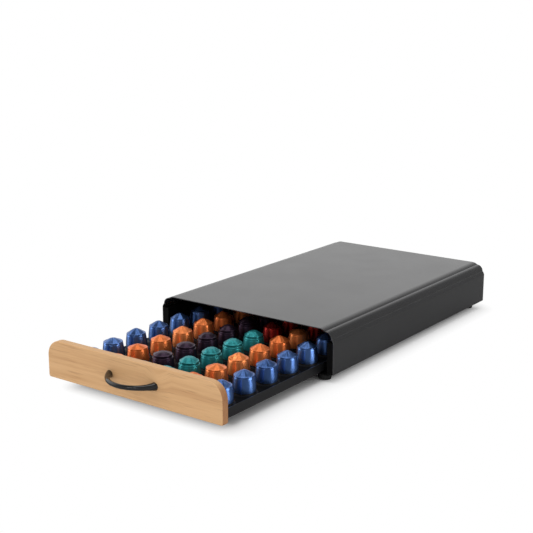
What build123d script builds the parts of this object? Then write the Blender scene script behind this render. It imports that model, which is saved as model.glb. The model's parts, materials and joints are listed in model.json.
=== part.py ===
"""Pod drawer for a kitchen worktop: a sheet-steel housing with a stepped shoulder, and a
steel drawer with a wooden front, a bow handle and a moulded plate of round wells, each
holding one upright pod.  The drawer stands partly open.

Millimetres.  X is the width, +Y runs from the drawer's front to the back of the housing,
+Z is up and z = 0 is the worktop.  The pieces are built with y = 0 on the face of the
wooden front and are moved at the end, so that the origin is the middle of the footprint.
"""

from build123d import *
import math
import os

os.makedirs("parts", exist_ok=True)

# ---------------------------------------------------------------- housing shell
housing_width = 300.0
housing_depth = 454.4
shell_sheet = 1.2
side_ground_clearance = 12.0      # worktop to the lower edge of the side walls
side_height = 62.25               # lower edge of the side walls to the top plane
lower_round = 7.5                 # radius where the side wall starts to lean in
lower_round_drop = 11.5           # crown of that radius, below the top plane
middle_round = 10.0               # the large quarter round of the shoulder
middle_round_inset = 3.0          # its vertical tangent, in from the side wall
middle_round_drop = 3.0           # its crown, below the top plane
upper_round = 15.9                # the flat curve that meets the top plane
upper_round_inset = 6.4           # its vertical tangent, in from the side wall
edge_ease = 0.3                   # broken edge of the cut sheet

# ---------------------------------------------------------------- wooden front
panel_side_inset = 3.8            # ends of the wood, in from the side walls
panel_height = 51.8
panel_thickness = 10.7
panel_ground_clearance = 15.1
panel_top_corner = 22.0
panel_bottom_corner = 3.0
panel_edge_ease = 1.3
open_travel = 218.6               # how far the drawer stands open
closed_gap = 0.5                  # wooden front to housing when the drawer is shut

# ---------------------------------------------------------------- bow handle
handle_span = 75.6                # between the middles of its two ends
handle_offset = 2.7               # its middle, right of the middle of the wood
handle_reach = 25.0               # front of the wood to the middle of the bow
handle_end_radius = 5.4
handle_middle_radius = 3.0
handle_rise = 26.5                # above the lower edge of the wooden front
handle_sections = 9

# ---------------------------------------------------------------- pods
pod_columns = 6
pod_rows = 9
first_row = 40.5                  # face of the wood to the middle of the first row
flange_radius = 17.9
flange_thickness = 1.2
lid_thickness = 0.3
lid_inset = 0.4                   # edge of the lid, in from the edge of the flange
body_base_radius = 15.2
shoulder_radius = 13.0
body_height = 23.0                # flange to shoulder
dome_height = 6.2
dome_flat_radius = 3.8
dome_flat_rise = 0.3
bead = 0.35                       # how far the rolled bead stands out at the shoulder
pod_wall = 0.6
ring_drop = 3.9                   # stepped pods: ring below the shoulder
neck_radius = 12.5                # stepped pods: neck above the ring
neck_height = 1.6

# ---------------------------------------------------------------- well plate
well_clearance = 0.3              # round the flange
well_depth = 1.7
plate_web = 0.4                   # outer wells to the long edges of the plate
plate_thickness = 3.2
plate_front_margin = 7.2          # front wells to the front edge of the plate
plate_rear_margin = 6.0
plate_fit = 0.15                  # plate to the inside of the pan
plate_below_rim = 0.8
skirt_thickness = 2.0
skirt_inset = 2.4                 # clears the bend along the bottom of the pan
well_chamfer = 0.3

# ---------------------------------------------------------------- drawer pan
pan_sheet = 1.0
pan_height = 13.6
pan_bend = 2.2                    # outside radius of the bends
pan_rear_space = 3.3              # rear edge of the plate to the rear wall
upstand_end_inset = 28.2          # upstand behind the wood, in from the ends of the wood
upstand_margin = 7.4              # its upper edge above the middle of its screws
upstand_corner = 8.0

# ---------------------------------------------------------------- slide
foot_height = 8.6
bar_sheet = 1.0
guide_sheet = 1.2
front_glide_thickness = 0.9
slide_clearance = 0.15            # between sliding faces, up and down
side_space = 9.25                 # guide's web to the inside of the shell
guide_gap = 8.3                   # side of the pan to the guide's web
shelf_width = 25.5                # guide's web to the free edge of its shelf
guide_recess = 0.8                # guide's front plate behind the edge of the shell
guide_fit = 0.1                   # guide to the inside of the shell
back_recess = 2.0                 # back panel behind the rear edge of the shell
rear_glide_length = 50.0
rear_glide_side_gap = 1.3         # glide to the guide's web
rear_glide_drop = 1.45            # top of the glide below the rim of the pan
rear_glide_block = 12.0           # part of the glide behind the pan
rear_glide_inboard = 26.0         # width of that part, in from the side of the pan
hold_down_sheet = 1.0
hold_down_leg = 12.0
hold_down_side_gap = 1.0          # lip of the hold-down to the side of the pan
hold_down_setback = 55.0          # behind the front of the housing
stop_setback = 54.04              # behind the front of the housing
shut_space = 13.36                # glides to the guides' rear plates when the drawer is shut
stop_length = 12.0
stop_clearance = 0.2
front_glide_size = (12.0, 24.0)
front_glide_setback = 23.0
front_glide_peg = 2.0             # radius

# ---------------------------------------------------------------- base and back
bar_width = 25.0
bar_setback = 3.0
foot_top_radius = 10.0
foot_bottom_radius = 8.6
foot_recess_radius = 4.6
foot_recess_depth = 3.4
foot_side_inset = 22.0            # middle of the foot, in from the side wall
foot_end_inset = 14.0             # middle of the foot, in from the housing's ends
back_sheet = 1.0
back_fit = 0.15

# ---------------------------------------------------------------- fasteners
hole_clearance = 0.1              # radial, round every shank
m4_radius = 2.0
m4_head_radius = 3.7
m4_head_height = 2.2
rivet_radius = 1.6
rivet_head_radius = 3.2
rivet_head_rim = 0.45             # height of the head at its rim
rivet_head_height = 1.1
rivet_crown_radius = 1.9
rivet_tail_radius = 2.3
rivet_tail_height = 0.9
back_rivet_margin = 12.5          # from the ends of the guide's rear plate
web_rivet_count = 4
web_rivet_margin = 14.0           # from the ends of the hold-down
glide_rivet_inset = (7.8, 19.5)   # in from the side of the pan
stop_screw_depth = 8.0            # in the stop
handle_screw_depth = 5.0          # in the end of the bow
wood_screw_radius = 1.75
wood_screw_depth = 7.5            # in the wood
wood_screw_inset = 14.0           # in from the ends of the upstand
wood_screw_rise = 7.75            # lower screws above the underside of the pan
recess_key_radius = 1.3
recess_key_depth = 1.1
foot_screw_tip = 0.5              # above the shelf

# ---------------------------------------------------------------- which pod stands where
teal_rows = 5                     # from the front, in the fourth column; red behind
orange_rows = 6                   # from the front, in the fifth column; red behind

# ---------------------------------------------------------------- worked out
top_z = side_ground_clearance + side_height
half_width = housing_width / 2
panel_width = housing_width - 2 * panel_side_inset
front_y = panel_thickness + open_travel + closed_gap
rear_y = front_y + housing_depth
panel_bottom_z = panel_ground_clearance
panel_top_z = panel_bottom_z + panel_height
handle_z = panel_bottom_z + handle_rise

bar_z = foot_height
shelf_z = bar_z + bar_sheet
shelf_top_z = shelf_z + guide_sheet
pan_z = shelf_top_z + front_glide_thickness + slide_clearance
pan_rim_z = pan_z + pan_height
plate_top_z = pan_rim_z - plate_below_rim
well_floor_z = plate_top_z - well_depth

shell_inner_x = half_width - shell_sheet
web_x = shell_inner_x - side_space
pan_half = web_x - guide_gap
plate_half = pan_half - pan_sheet - plate_fit
back_y = rear_y - back_recess - back_sheet
glide_rear_y = back_y - guide_sheet - shut_space - open_travel
pan_front_y = panel_thickness
pan_rear_y = glide_rear_y - rear_glide_block
plate_rear_y = pan_rear_y - pan_sheet - pan_rear_space

well_radius = flange_radius + well_clearance
lid_radius = flange_radius - lid_inset
last_column = plate_half - plate_web - well_radius
last_row = plate_rear_y - plate_rear_margin - well_radius
column_pitch = 2 * last_column / (pod_columns - 1)
row_pitch = (last_row - first_row) / (pod_rows - 1)
column_x = [column_pitch * i - last_column for i in range(pod_columns)]
row_y = [first_row + row_pitch * j for j in range(pod_rows)]
plate_front_y = first_row - well_radius - plate_front_margin

guide_outer_x = shell_inner_x - guide_fit
shelf_x = web_x + guide_sheet - shelf_width
guide_top_z = top_z - lower_round_drop - lower_round
guide_front_y = front_y + guide_recess
glide_front_y = pan_rear_y - rear_glide_length
glide_outer_x = web_x - rear_glide_side_gap
rear_glide_top = pan_rim_z - rear_glide_drop
hold_down_z = rear_glide_top + slide_clearance
lip_x = pan_half + hold_down_side_gap
hold_down_y = front_y + hold_down_setback
stop_front_y = front_y + stop_setback
stop_rear_y = stop_front_y + stop_length
extra_travel = glide_front_y - stop_rear_y - stop_clearance
foot_x = half_width - foot_side_inset
foot_y = (front_y + foot_end_inset, rear_y - foot_end_inset)
bar_front_y = (front_y + bar_setback, rear_y - bar_setback - bar_width)
bar_half = web_x + guide_sheet
front_glide_x = (shelf_x + pan_half) / 2
front_glide_y = front_y + front_glide_setback + front_glide_size[1] / 2
stop_x = (lip_x + web_x) / 2
stop_y = (stop_front_y + stop_rear_y) / 2

handle_x = (handle_offset - handle_span / 2, handle_offset + handle_span / 2)
upstand_half = panel_width / 2 - upstand_end_inset
upstand_top = handle_z + upstand_margin
panel_screw_places = [
    (side * (upstand_half - wood_screw_inset), z)
    for side in (-1, 1)
    for z in (pan_z + wood_screw_rise, handle_z)
]
glide_rivet_z = (pan_z + rear_glide_top) / 2
glide_rivet_places = [
    (side * (pan_half - inset), glide_rivet_z) for side in (-1, 1) for inset in glide_rivet_inset
]
back_rivet_x = (web_x + guide_sheet + guide_outer_x) / 2
back_rivet_places = [
    (side * back_rivet_x, z)
    for side in (-1, 1)
    for z in (side_ground_clearance + back_rivet_margin, guide_top_z - back_rivet_margin)
]
web_rivet_z = hold_down_z + (hold_down_leg + hold_down_sheet) / 2
web_rivet_run = back_y - guide_sheet - hold_down_y - 2 * web_rivet_margin
web_rivet_y = [
    hold_down_y + web_rivet_margin + web_rivet_run * i / (web_rivet_count - 1)
    for i in range(web_rivet_count)
]
rivet_head_profile = (
    (0, 0),
    (rivet_head_radius, 0),
    (rivet_head_radius, rivet_head_rim),
    (rivet_crown_radius, rivet_head_height),
    (0, rivet_head_height),
)

flange_top = lid_thickness + flange_thickness
shoulder_z = flange_top + body_height
dome_top = shoulder_z + dome_height

centre_y = (rear_y - handle_reach - handle_middle_radius) / 2


# ---------------------------------------------------------------- helpers
def block(x0, x1, y0, y1, z0, z1):
    """A box between two corners."""
    size = Box(abs(x1 - x0), abs(y1 - y0), abs(z1 - z0))
    return Pos((x0 + x1) / 2, (y0 + y1) / 2, (z0 + z1) / 2) * size


def across(sketch, y0, y1):
    """A drawing in X and Z, made solid from y0 to y1."""
    plane = Plane(origin=(0, y0, 0), x_dir=(1, 0, 0), z_dir=(0, -1, 0))
    return extrude(plane * sketch, amount=-(y1 - y0))


def rod_y(x, z, y0, y1, radius):
    """A round bar along Y."""
    return across(Pos(x, z) * Circle(radius), y0, y1)


def rod_z(x, y, z0, z1, radius):
    """A round bar along Z."""
    return Pos(x, y, (z0 + z1) / 2) * Cylinder(radius, z1 - z0)


def rod_x(y, z, x0, x1, radius):
    """A round bar along X."""
    return Pos((x0 + x1) / 2, y, z) * Rot(0, 90, 0) * Cylinder(radius, abs(x1 - x0))


def mirrored(shape):
    """The same piece on the left-hand side."""
    return mirror(shape, about=Plane.YZ)


def group(pieces):
    """Separate solids that share one node."""
    solids = []
    for piece in pieces:
        solids += piece.solids()
    return Compound(children=solids)


def ringed(profile):
    """A solid turned about Z from its half outline in X and Z."""
    return revolve(Plane.XZ * make_face(Polyline(*profile, close=True)), Axis.Z)


# ---------------------------------------------------------------- housing
def shoulder_outline(inset):
    """Section of the cover, drawn in by inset: three stacked rounds make its two steps."""
    depth_below = side_height + 2 * upper_round
    rounds = (
        (0, lower_round_drop, lower_round),
        (middle_round_inset, middle_round_drop, middle_round),
        (upper_round_inset, 0, upper_round),
    )
    outline = None
    for side_inset, drop, radius in rounds:
        width = housing_width - 2 * (side_inset + inset)
        crown = top_z - drop - inset
        form = Pos(0, crown - depth_below / 2) * RectangleRounded(width, depth_below, radius - inset)
        outline = form if outline is None else outline + form
    low = Pos(0, side_ground_clearance - depth_below / 2) * Rectangle(2 * housing_width, depth_below)
    return outline, low


def make_housing_shell():
    outer, low = shoulder_outline(0)
    inner, _ = shoulder_outline(shell_sheet)
    shell = across(outer - low - inner, front_y, rear_y)
    ends = shell.faces().sort_by(Axis.Y)
    return chamfer(ends[0].edges() + ends[-1].edges(), edge_ease)


def make_back_panel():
    inner, low = shoulder_outline(shell_sheet + back_fit)
    panel = across(inner - low, back_y, back_y + back_sheet)
    for x, z in back_rivet_places:
        panel -= rod_y(x, z, back_y, back_y + back_sheet, rivet_radius + hole_clearance)
    return panel


def make_guide():
    """Right-hand guide: web, shelf under the drawer, and plates that close the side."""
    web = block(web_x, web_x + guide_sheet, guide_front_y, back_y, shelf_z, guide_top_z)
    shelf = block(shelf_x, web_x + guide_sheet, guide_front_y, back_y, shelf_z, shelf_top_z)
    top = block(web_x, guide_outer_x, guide_front_y, back_y, guide_top_z - guide_sheet, guide_top_z)
    front = block(
        web_x, guide_outer_x, guide_front_y, guide_front_y + guide_sheet,
        side_ground_clearance, guide_top_z,
    )
    rear = block(
        web_x, guide_outer_x, back_y - guide_sheet, back_y, side_ground_clearance, guide_top_z
    )
    guide = web + shelf + top + front + rear
    for x, z in back_rivet_places:
        if x > 0:
            guide -= rod_y(x, z, back_y - guide_sheet, back_y, rivet_radius + hole_clearance)
    for y in web_rivet_y:
        guide -= rod_x(y, web_rivet_z, web_x, web_x + guide_sheet, rivet_radius + hole_clearance)
    for y in foot_y:
        guide -= rod_z(foot_x, y, shelf_z, shelf_top_z, m4_radius + hole_clearance)
    guide -= rod_z(
        front_glide_x, front_glide_y, shelf_z, shelf_top_z, front_glide_peg + hole_clearance
    )
    guide -= rod_z(stop_x, stop_y, shelf_z, shelf_top_z, rivet_radius + hole_clearance)
    return guide


def make_hold_down():
    """Angle strip on the web: its lip keeps the rear of the drawer from lifting."""
    leg = block(
        web_x - hold_down_sheet, web_x, hold_down_y, back_y - guide_sheet,
        hold_down_z, hold_down_z + hold_down_leg,
    )
    lip = block(
        lip_x, web_x, hold_down_y, back_y - guide_sheet, hold_down_z, hold_down_z + hold_down_sheet
    )
    strip = leg + lip
    for y in web_rivet_y:
        strip -= rod_x(
            y, web_rivet_z, web_x - hold_down_sheet, web_x, rivet_radius + hole_clearance
        )
    return strip


def make_stop():
    """Block that the rear glide meets when the drawer is fully out."""
    stop = block(
        lip_x, web_x - stop_clearance, stop_front_y, stop_rear_y,
        shelf_top_z, hold_down_z - stop_clearance,
    )
    return stop - rod_z(
        stop_x, stop_y, shelf_top_z, shelf_top_z + stop_screw_depth, rivet_radius + hole_clearance
    )


def make_stop_screw():
    head = rod_z(stop_x, stop_y, shelf_z - rivet_head_height, shelf_z, rivet_head_radius)
    shank = rod_z(stop_x, stop_y, shelf_z, shelf_top_z + stop_screw_depth - hole_clearance, rivet_radius)
    return head + shank


def make_front_glide():
    """Low pad on the shelf, held by a peg, that carries the front of the pan."""
    wide, long = front_glide_size
    pad = block(
        front_glide_x - wide / 2, front_glide_x + wide / 2,
        front_glide_y - long / 2, front_glide_y + long / 2,
        shelf_top_z, shelf_top_z + front_glide_thickness,
    )
    pad = chamfer(pad.faces().sort_by(Axis.Z)[-1].edges(), edge_ease)
    return pad + rod_z(front_glide_x, front_glide_y, shelf_z, shelf_top_z, front_glide_peg)


def make_cross_bar(y0):
    bar = block(-bar_half, bar_half, y0, y0 + bar_width, bar_z, bar_z + bar_sheet)
    for x in (-foot_x, foot_x):
        for y in foot_y:
            bar -= rod_z(x, y, bar_z, bar_z + bar_sheet, m4_radius + hole_clearance)
    return bar


def make_foot(x, y):
    """Tapered rubber foot, recessed underneath for the head of its screw."""
    profile = (
        (m4_radius + hole_clearance, foot_recess_depth),
        (foot_recess_radius, foot_recess_depth),
        (foot_recess_radius, 0),
        (foot_bottom_radius - edge_ease, 0),
        (foot_bottom_radius, edge_ease),
        (foot_top_radius, foot_height),
        (m4_radius + hole_clearance, foot_height),
    )
    return Pos(x, y, 0) * ringed(profile)


def make_foot_screw(x, y):
    head_z = foot_recess_depth - m4_head_height
    screw = rod_z(x, y, head_z, foot_recess_depth, m4_head_radius)
    screw += rod_z(x, y, foot_recess_depth, shelf_top_z + foot_screw_tip, m4_radius)
    return screw - rod_z(x, y, head_z, head_z + recess_key_depth, recess_key_radius)


def rivet_y(x, z, head_y, inner_y):
    """Blind rivet along Y, its head on the face at head_y, its tail past inner_y."""
    head = Pos(x, head_y, z) * Rot(-90, 0, 0) * ringed(rivet_head_profile)
    shank = rod_y(x, z, inner_y, head_y, rivet_radius)
    tail = rod_y(x, z, inner_y - rivet_tail_height, inner_y, rivet_tail_radius)
    return head + shank + tail


def rivet_x(y, z, head_x, inner_x):
    """Blind rivet along X, its head on the face at head_x, its tail past inner_x."""
    head = Pos(head_x, y, z) * Rot(0, -90, 0) * ringed(rivet_head_profile)
    shank = rod_x(y, z, head_x, inner_x, rivet_radius)
    tail = rod_x(y, z, inner_x, inner_x + rivet_tail_height, rivet_tail_radius)
    return head + shank + tail


# ---------------------------------------------------------------- drawer
def make_drawer_pan():
    """Folded steel pan: floor, four low walls and an upstand behind the wooden front."""
    pan = block(-pan_half, pan_half, pan_front_y, pan_rear_y, pan_z, pan_rim_z)
    bends = pan.edges().filter_by(Axis.Z) + pan.faces().sort_by(Axis.Z)[0].edges()
    pan = fillet(bends, pan_bend)
    hollow = block(
        -pan_half + pan_sheet, pan_half - pan_sheet, pan_front_y + pan_sheet, pan_rear_y - pan_sheet,
        pan_z + pan_sheet, pan_rim_z + pan_bend,
    )
    hollow_bends = hollow.edges().filter_by(Axis.Z) + hollow.faces().sort_by(Axis.Z)[0].edges()
    pan -= fillet(hollow_bends, pan_bend - pan_sheet)
    upstand = block(
        -upstand_half, upstand_half, pan_front_y, pan_front_y + pan_sheet,
        pan_rim_z - pan_sheet, upstand_top,
    )
    corners = upstand.edges().filter_by(Axis.Y).sort_by(Axis.Z)[-2:]
    pan += fillet(corners, upstand_corner)
    for x, z in panel_screw_places:
        pan -= rod_y(x, z, pan_front_y, pan_front_y + pan_sheet, wood_screw_radius + hole_clearance)
    for x in handle_x:
        pan -= rod_y(x, handle_z, pan_front_y, pan_front_y + pan_sheet, m4_radius + hole_clearance)
    for x, z in glide_rivet_places:
        pan -= rod_y(x, z, pan_rear_y - pan_sheet, pan_rear_y, rivet_radius + hole_clearance)
    return pan


def make_pod_plate():
    """Moulded plate with one shallow round well for each pod, on a skirt and two ribs."""
    plate = block(
        -plate_half, plate_half, plate_front_y, plate_rear_y, plate_top_z - plate_thickness, plate_top_z
    )
    floor_z = pan_z + pan_sheet
    under_z = plate_top_z - plate_thickness
    outer = block(
        -plate_half + skirt_inset, plate_half - skirt_inset,
        plate_front_y + skirt_inset, plate_rear_y - skirt_inset, floor_z, under_z,
    )
    wall = skirt_inset + skirt_thickness
    inner = block(
        -plate_half + wall, plate_half - wall, plate_front_y + wall, plate_rear_y - wall, floor_z, under_z
    )
    plate += outer - inner
    for x in (-column_pitch, column_pitch):
        plate += block(
            x - skirt_thickness / 2, x + skirt_thickness / 2,
            plate_front_y + skirt_inset, plate_rear_y - skirt_inset, floor_z, under_z,
        )
    wells = []
    mouth = plate_top_z - well_chamfer
    profile = (
        (0, well_floor_z),
        (well_radius, well_floor_z),
        (well_radius, mouth),
        (well_radius + well_chamfer, plate_top_z),
        (0, plate_top_z),
    )
    well = ringed(profile)
    for x in column_x:
        for y in row_y:
            wells.append(Pos(x, y, 0) * well)
    return plate - wells


def make_front_panel():
    """Wooden front: large upper corners, small lower ones and eased edges."""
    panel = block(
        -panel_width / 2, panel_width / 2, 0, panel_thickness, panel_bottom_z, panel_top_z
    )
    uprights = panel.edges().filter_by(Axis.Y).sort_by(Axis.Z)
    panel = fillet(uprights[-2:], panel_top_corner)
    uprights = panel.edges().filter_by(Axis.Y).sort_by(Axis.Z)
    panel = fillet(uprights[:2], panel_bottom_corner)
    faces = panel.faces().filter_by(Axis.Y).sort_by(Axis.Y)
    panel = fillet(faces[0].edges() + faces[-1].edges(), panel_edge_ease)
    for x, z in panel_screw_places:
        panel -= rod_y(
            x, z, panel_thickness - wood_screw_depth, panel_thickness, wood_screw_radius + hole_clearance
        )
    for x in handle_x:
        panel -= rod_y(x, handle_z, 0, panel_thickness, m4_radius + hole_clearance)
    return panel


def make_handle():
    """Round bow: an arc in plan that swells close to its two ends."""
    half = handle_span / 2
    bow_radius = (half**2 + handle_reach**2) / (2 * handle_reach)
    sweep = math.asin(half / bow_radius)
    if handle_reach > bow_radius:
        sweep = math.pi - sweep
    middle_y = bow_radius - handle_reach
    sections = []
    for i in range(handle_sections):
        share = 2 * i / (handle_sections - 1) - 1
        angle = share * sweep
        x = handle_offset + bow_radius * math.sin(angle)
        y = middle_y - bow_radius * math.cos(angle)
        swell = share**4
        radius = handle_middle_radius + (handle_end_radius - handle_middle_radius) * swell
        tangent = (math.cos(angle), math.sin(angle), 0)
        if i == 0:
            tangent = (0, -1, 0)
        if i == handle_sections - 1:
            tangent = (0, 1, 0)
        plane = Plane(origin=(x, y, handle_z), x_dir=(0, 0, 1), z_dir=tangent)
        sections.append(plane * Circle(radius))
    bow = loft(sections)
    for x in handle_x:
        bow -= rod_y(x, handle_z, -handle_screw_depth, 0, m4_radius + hole_clearance)
    return bow


def make_handle_screw(x):
    """Machine screw from behind, through upstand and wood, into the end of the bow."""
    seat_y = pan_front_y + pan_sheet
    screw = rod_y(x, handle_z, seat_y, seat_y + m4_head_height, m4_head_radius)
    screw += rod_y(x, handle_z, hole_clearance - handle_screw_depth, seat_y, m4_radius)
    key_y = seat_y + m4_head_height - recess_key_depth
    return screw - rod_y(x, handle_z, key_y, seat_y + m4_head_height, recess_key_radius)


def make_panel_screw(x, z):
    seat_y = pan_front_y + pan_sheet
    screw = rod_y(x, z, seat_y, seat_y + m4_head_height, m4_head_radius)
    screw += rod_y(x, z, panel_thickness - wood_screw_depth + hole_clearance, seat_y, wood_screw_radius)
    key_y = seat_y + m4_head_height - recess_key_depth
    return screw - rod_y(x, z, key_y, seat_y + m4_head_height, recess_key_radius)


def make_rear_glide():
    """Right-hand glide: a block behind the pan with an arm along its side."""
    low_z = shelf_top_z + slide_clearance
    arm = block(
        pan_half, glide_outer_x, glide_front_y, glide_rear_y, low_z, rear_glide_top
    )
    block_behind = block(
        pan_half - rear_glide_inboard, glide_outer_x, pan_rear_y, glide_rear_y, pan_z, rear_glide_top
    )
    glide = arm + block_behind
    for x, z in glide_rivet_places:
        if x > 0:
            glide -= rod_y(x, z, pan_rear_y, glide_rear_y, rivet_radius + hole_clearance)
    return glide


# ---------------------------------------------------------------- pods
def wall_radius(z):
    """Radius of the tapered wall at height z above the well's floor."""
    share = (z - flange_top) / body_height
    return body_base_radius + (shoulder_radius - body_base_radius) * share


def make_plain_pod():
    """Thin cup, mouth down: flange, tapered wall, rolled shoulder bead and a low cone."""
    outside = [
        (flange_radius, lid_thickness),
        (flange_radius, flange_top),
        (body_base_radius, flange_top),
        (wall_radius(shoulder_z - 2 * bead), shoulder_z - 2 * bead),
        (shoulder_radius + bead, shoulder_z - bead),
        (shoulder_radius, shoulder_z),
        (dome_flat_radius, dome_top - dome_flat_rise),
        (0, dome_top),
    ]
    inside = [
        (0, dome_top - pod_wall),
        (dome_flat_radius, dome_top - dome_flat_rise - pod_wall),
        (shoulder_radius - pod_wall, shoulder_z - pod_wall),
        (body_base_radius - pod_wall, flange_top),
        (body_base_radius - pod_wall, lid_thickness),
    ]
    return ringed(outside + inside)


def make_stepped_pod():
    """The same cup with a narrow neck and a ring between its cone and its wall."""
    ring_z = shoulder_z - ring_drop
    neck_z = shoulder_z - neck_height
    outside = [
        (flange_radius, lid_thickness),
        (flange_radius, flange_top),
        (body_base_radius, flange_top),
        (wall_radius(ring_z - 2 * bead), ring_z - 2 * bead),
        (wall_radius(ring_z) + bead, ring_z - bead),
        (wall_radius(ring_z), ring_z),
        (neck_radius, ring_z + 2 * bead),
        (neck_radius, neck_z),
        (neck_radius + bead, neck_z + bead),
        (neck_radius + bead, shoulder_z - bead),
        (neck_radius, shoulder_z),
        (dome_flat_radius, dome_top - dome_flat_rise),
        (0, dome_top),
    ]
    inside = [
        (0, dome_top - pod_wall),
        (dome_flat_radius, dome_top - dome_flat_rise - pod_wall),
        (neck_radius - pod_wall, shoulder_z - pod_wall),
        (neck_radius - pod_wall, ring_z - pod_wall),
        (wall_radius(ring_z) - 2 * pod_wall, ring_z - 2 * pod_wall),
        (body_base_radius - pod_wall, flange_top),
        (body_base_radius - pod_wall, lid_thickness),
    ]
    return ringed(outside + inside)


def make_lid():
    return Pos(0, 0, lid_thickness / 2) * Cylinder(lid_radius, lid_thickness)


def colour_of(column, row):
    """Which kind of pod stands in a well, counted from the left front."""
    if column in (0, pod_columns - 1):
        return "blue"
    if column == 1:
        return "orange"
    if column == 2:
        return "plum"
    if column == 3:
        return "teal" if row < teal_rows else "red"
    return "orange" if row < orange_rows else "red"


# ---------------------------------------------------------------- assembly
right_guide = make_guide()
right_hold_down = make_hold_down()
right_stop = make_stop()
right_front_glide = make_front_glide()
right_rear_glide = make_rear_glide()

nodes = {
    "housing_shell": make_housing_shell(),
    "back_panel": make_back_panel(),
    "guide_right": right_guide,
    "guide_left": mirrored(right_guide),
    "hold_down_right": right_hold_down,
    "hold_down_left": mirrored(right_hold_down),
    "drawer_stop_right": right_stop,
    "drawer_stop_left": mirrored(right_stop),
    "stop_screws": group([make_stop_screw(), mirrored(make_stop_screw())]),
    "front_glide_right": right_front_glide,
    "front_glide_left": mirrored(right_front_glide),
    "front_cross_bar": make_cross_bar(bar_front_y[0]),
    "rear_cross_bar": make_cross_bar(bar_front_y[1]),
    "drawer_pan": make_drawer_pan(),
    "pod_plate": make_pod_plate(),
    "front_panel": make_front_panel(),
    "handle": make_handle(),
    "rear_glide_right": right_rear_glide,
    "rear_glide_left": mirrored(right_rear_glide),
}

for name, x, y in (
    ("foot_front_left", -foot_x, foot_y[0]),
    ("foot_front_right", foot_x, foot_y[0]),
    ("foot_rear_left", -foot_x, foot_y[1]),
    ("foot_rear_right", foot_x, foot_y[1]),
):
    nodes[name] = make_foot(x, y)

nodes["foot_screws"] = group([make_foot_screw(x, y) for x in (-foot_x, foot_x) for y in foot_y])
nodes["back_rivets"] = group(
    [rivet_y(x, z, back_y + back_sheet, back_y - guide_sheet) for x, z in back_rivet_places]
)
right_web_rivets = [
    rivet_x(y, web_rivet_z, web_x - hold_down_sheet, web_x + guide_sheet) for y in web_rivet_y
]
nodes["web_rivets"] = group(right_web_rivets + [mirrored(rivet) for rivet in right_web_rivets])
nodes["handle_screws"] = group([make_handle_screw(x) for x in handle_x])
nodes["panel_screws"] = group([make_panel_screw(x, z) for x, z in panel_screw_places])
nodes["glide_rivets"] = group(
    [rivet_y(x, z, glide_rear_y, pan_rear_y - pan_sheet) for x, z in glide_rivet_places]
)

pod_forms = {"plain": make_plain_pod(), "stepped": make_stepped_pod()}
pods = {}
lids = []
lid = make_lid()
for column, x in enumerate(column_x):
    for row, y in enumerate(row_y):
        colour = colour_of(column, row)
        form = pod_forms["stepped" if colour in ("plum", "teal") else "plain"]
        place = Pos(x, y, well_floor_z)
        pods.setdefault(colour, []).append(place * form)
        lids.append(place * lid)
for colour, shapes in pods.items():
    nodes[f"pods_{colour}"] = group(shapes)
nodes["pod_lids"] = group(lids)

for name, shape in nodes.items():
    export_step(Pos(0, -centre_y, 0) * shape, f"parts/{name}.step")
    print(f"{name:20s} {len(shape.solids()):3d} solids")
print(f"{len(nodes)} nodes; origin {centre_y:.2f} behind the face of the wood")
print(f"the drawer slides in by {open_travel:.1f} and out by {extra_travel:.1f}")
print(f"wells {column_pitch:.2f} apart across and {row_pitch:.2f} front to back")
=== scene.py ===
# %% [markdown]
# # Coffee pod drawer
# A low steel housing with a stepped shoulder stands on a worktop. Out of it slides a
# drawer with a wooden front, a black bow handle and rows of upright metal pods.
# The rigid pieces come from a CAD model that loads as a fixed frame, so this script
# only adds what CAD left plain: the finishes, the creased metal pods and the studio.

# %% Load the frame
import json
import math

import bmesh
import bpy
from mathutils import Matrix, Vector, noise

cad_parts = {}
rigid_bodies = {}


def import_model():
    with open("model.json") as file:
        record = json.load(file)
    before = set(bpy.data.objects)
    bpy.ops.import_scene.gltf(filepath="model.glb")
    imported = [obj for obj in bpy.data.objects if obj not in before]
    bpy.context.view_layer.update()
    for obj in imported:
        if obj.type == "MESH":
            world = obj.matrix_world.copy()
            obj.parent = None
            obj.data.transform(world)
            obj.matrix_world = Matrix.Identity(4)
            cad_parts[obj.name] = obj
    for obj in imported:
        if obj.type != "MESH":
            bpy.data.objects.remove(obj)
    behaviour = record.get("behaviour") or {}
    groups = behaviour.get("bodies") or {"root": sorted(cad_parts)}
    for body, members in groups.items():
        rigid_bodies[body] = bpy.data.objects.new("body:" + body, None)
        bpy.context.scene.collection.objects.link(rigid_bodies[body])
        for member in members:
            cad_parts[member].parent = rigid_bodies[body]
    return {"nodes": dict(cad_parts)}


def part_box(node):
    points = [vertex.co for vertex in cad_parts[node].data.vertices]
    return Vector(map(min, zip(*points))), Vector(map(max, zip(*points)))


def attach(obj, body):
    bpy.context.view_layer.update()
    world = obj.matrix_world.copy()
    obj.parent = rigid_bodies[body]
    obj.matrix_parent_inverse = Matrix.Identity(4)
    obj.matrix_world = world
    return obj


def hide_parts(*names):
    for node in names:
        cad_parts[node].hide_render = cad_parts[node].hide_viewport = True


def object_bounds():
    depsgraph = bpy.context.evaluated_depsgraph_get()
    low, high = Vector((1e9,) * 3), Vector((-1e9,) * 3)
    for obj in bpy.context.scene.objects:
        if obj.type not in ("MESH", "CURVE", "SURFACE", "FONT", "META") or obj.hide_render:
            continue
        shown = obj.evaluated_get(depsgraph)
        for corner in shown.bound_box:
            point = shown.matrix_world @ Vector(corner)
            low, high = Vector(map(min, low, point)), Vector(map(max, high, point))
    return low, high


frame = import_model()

scene = bpy.context.scene
cad_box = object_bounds()
MM = 0.001

# %% [markdown]
# ## Camera
# The photograph was taken from above and to the right with a longish lens. A camera
# fitted to the straight edges of the real housing gives this place and angle. The
# height and width of the picture are equal, so the sensor width sets both.

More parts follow.
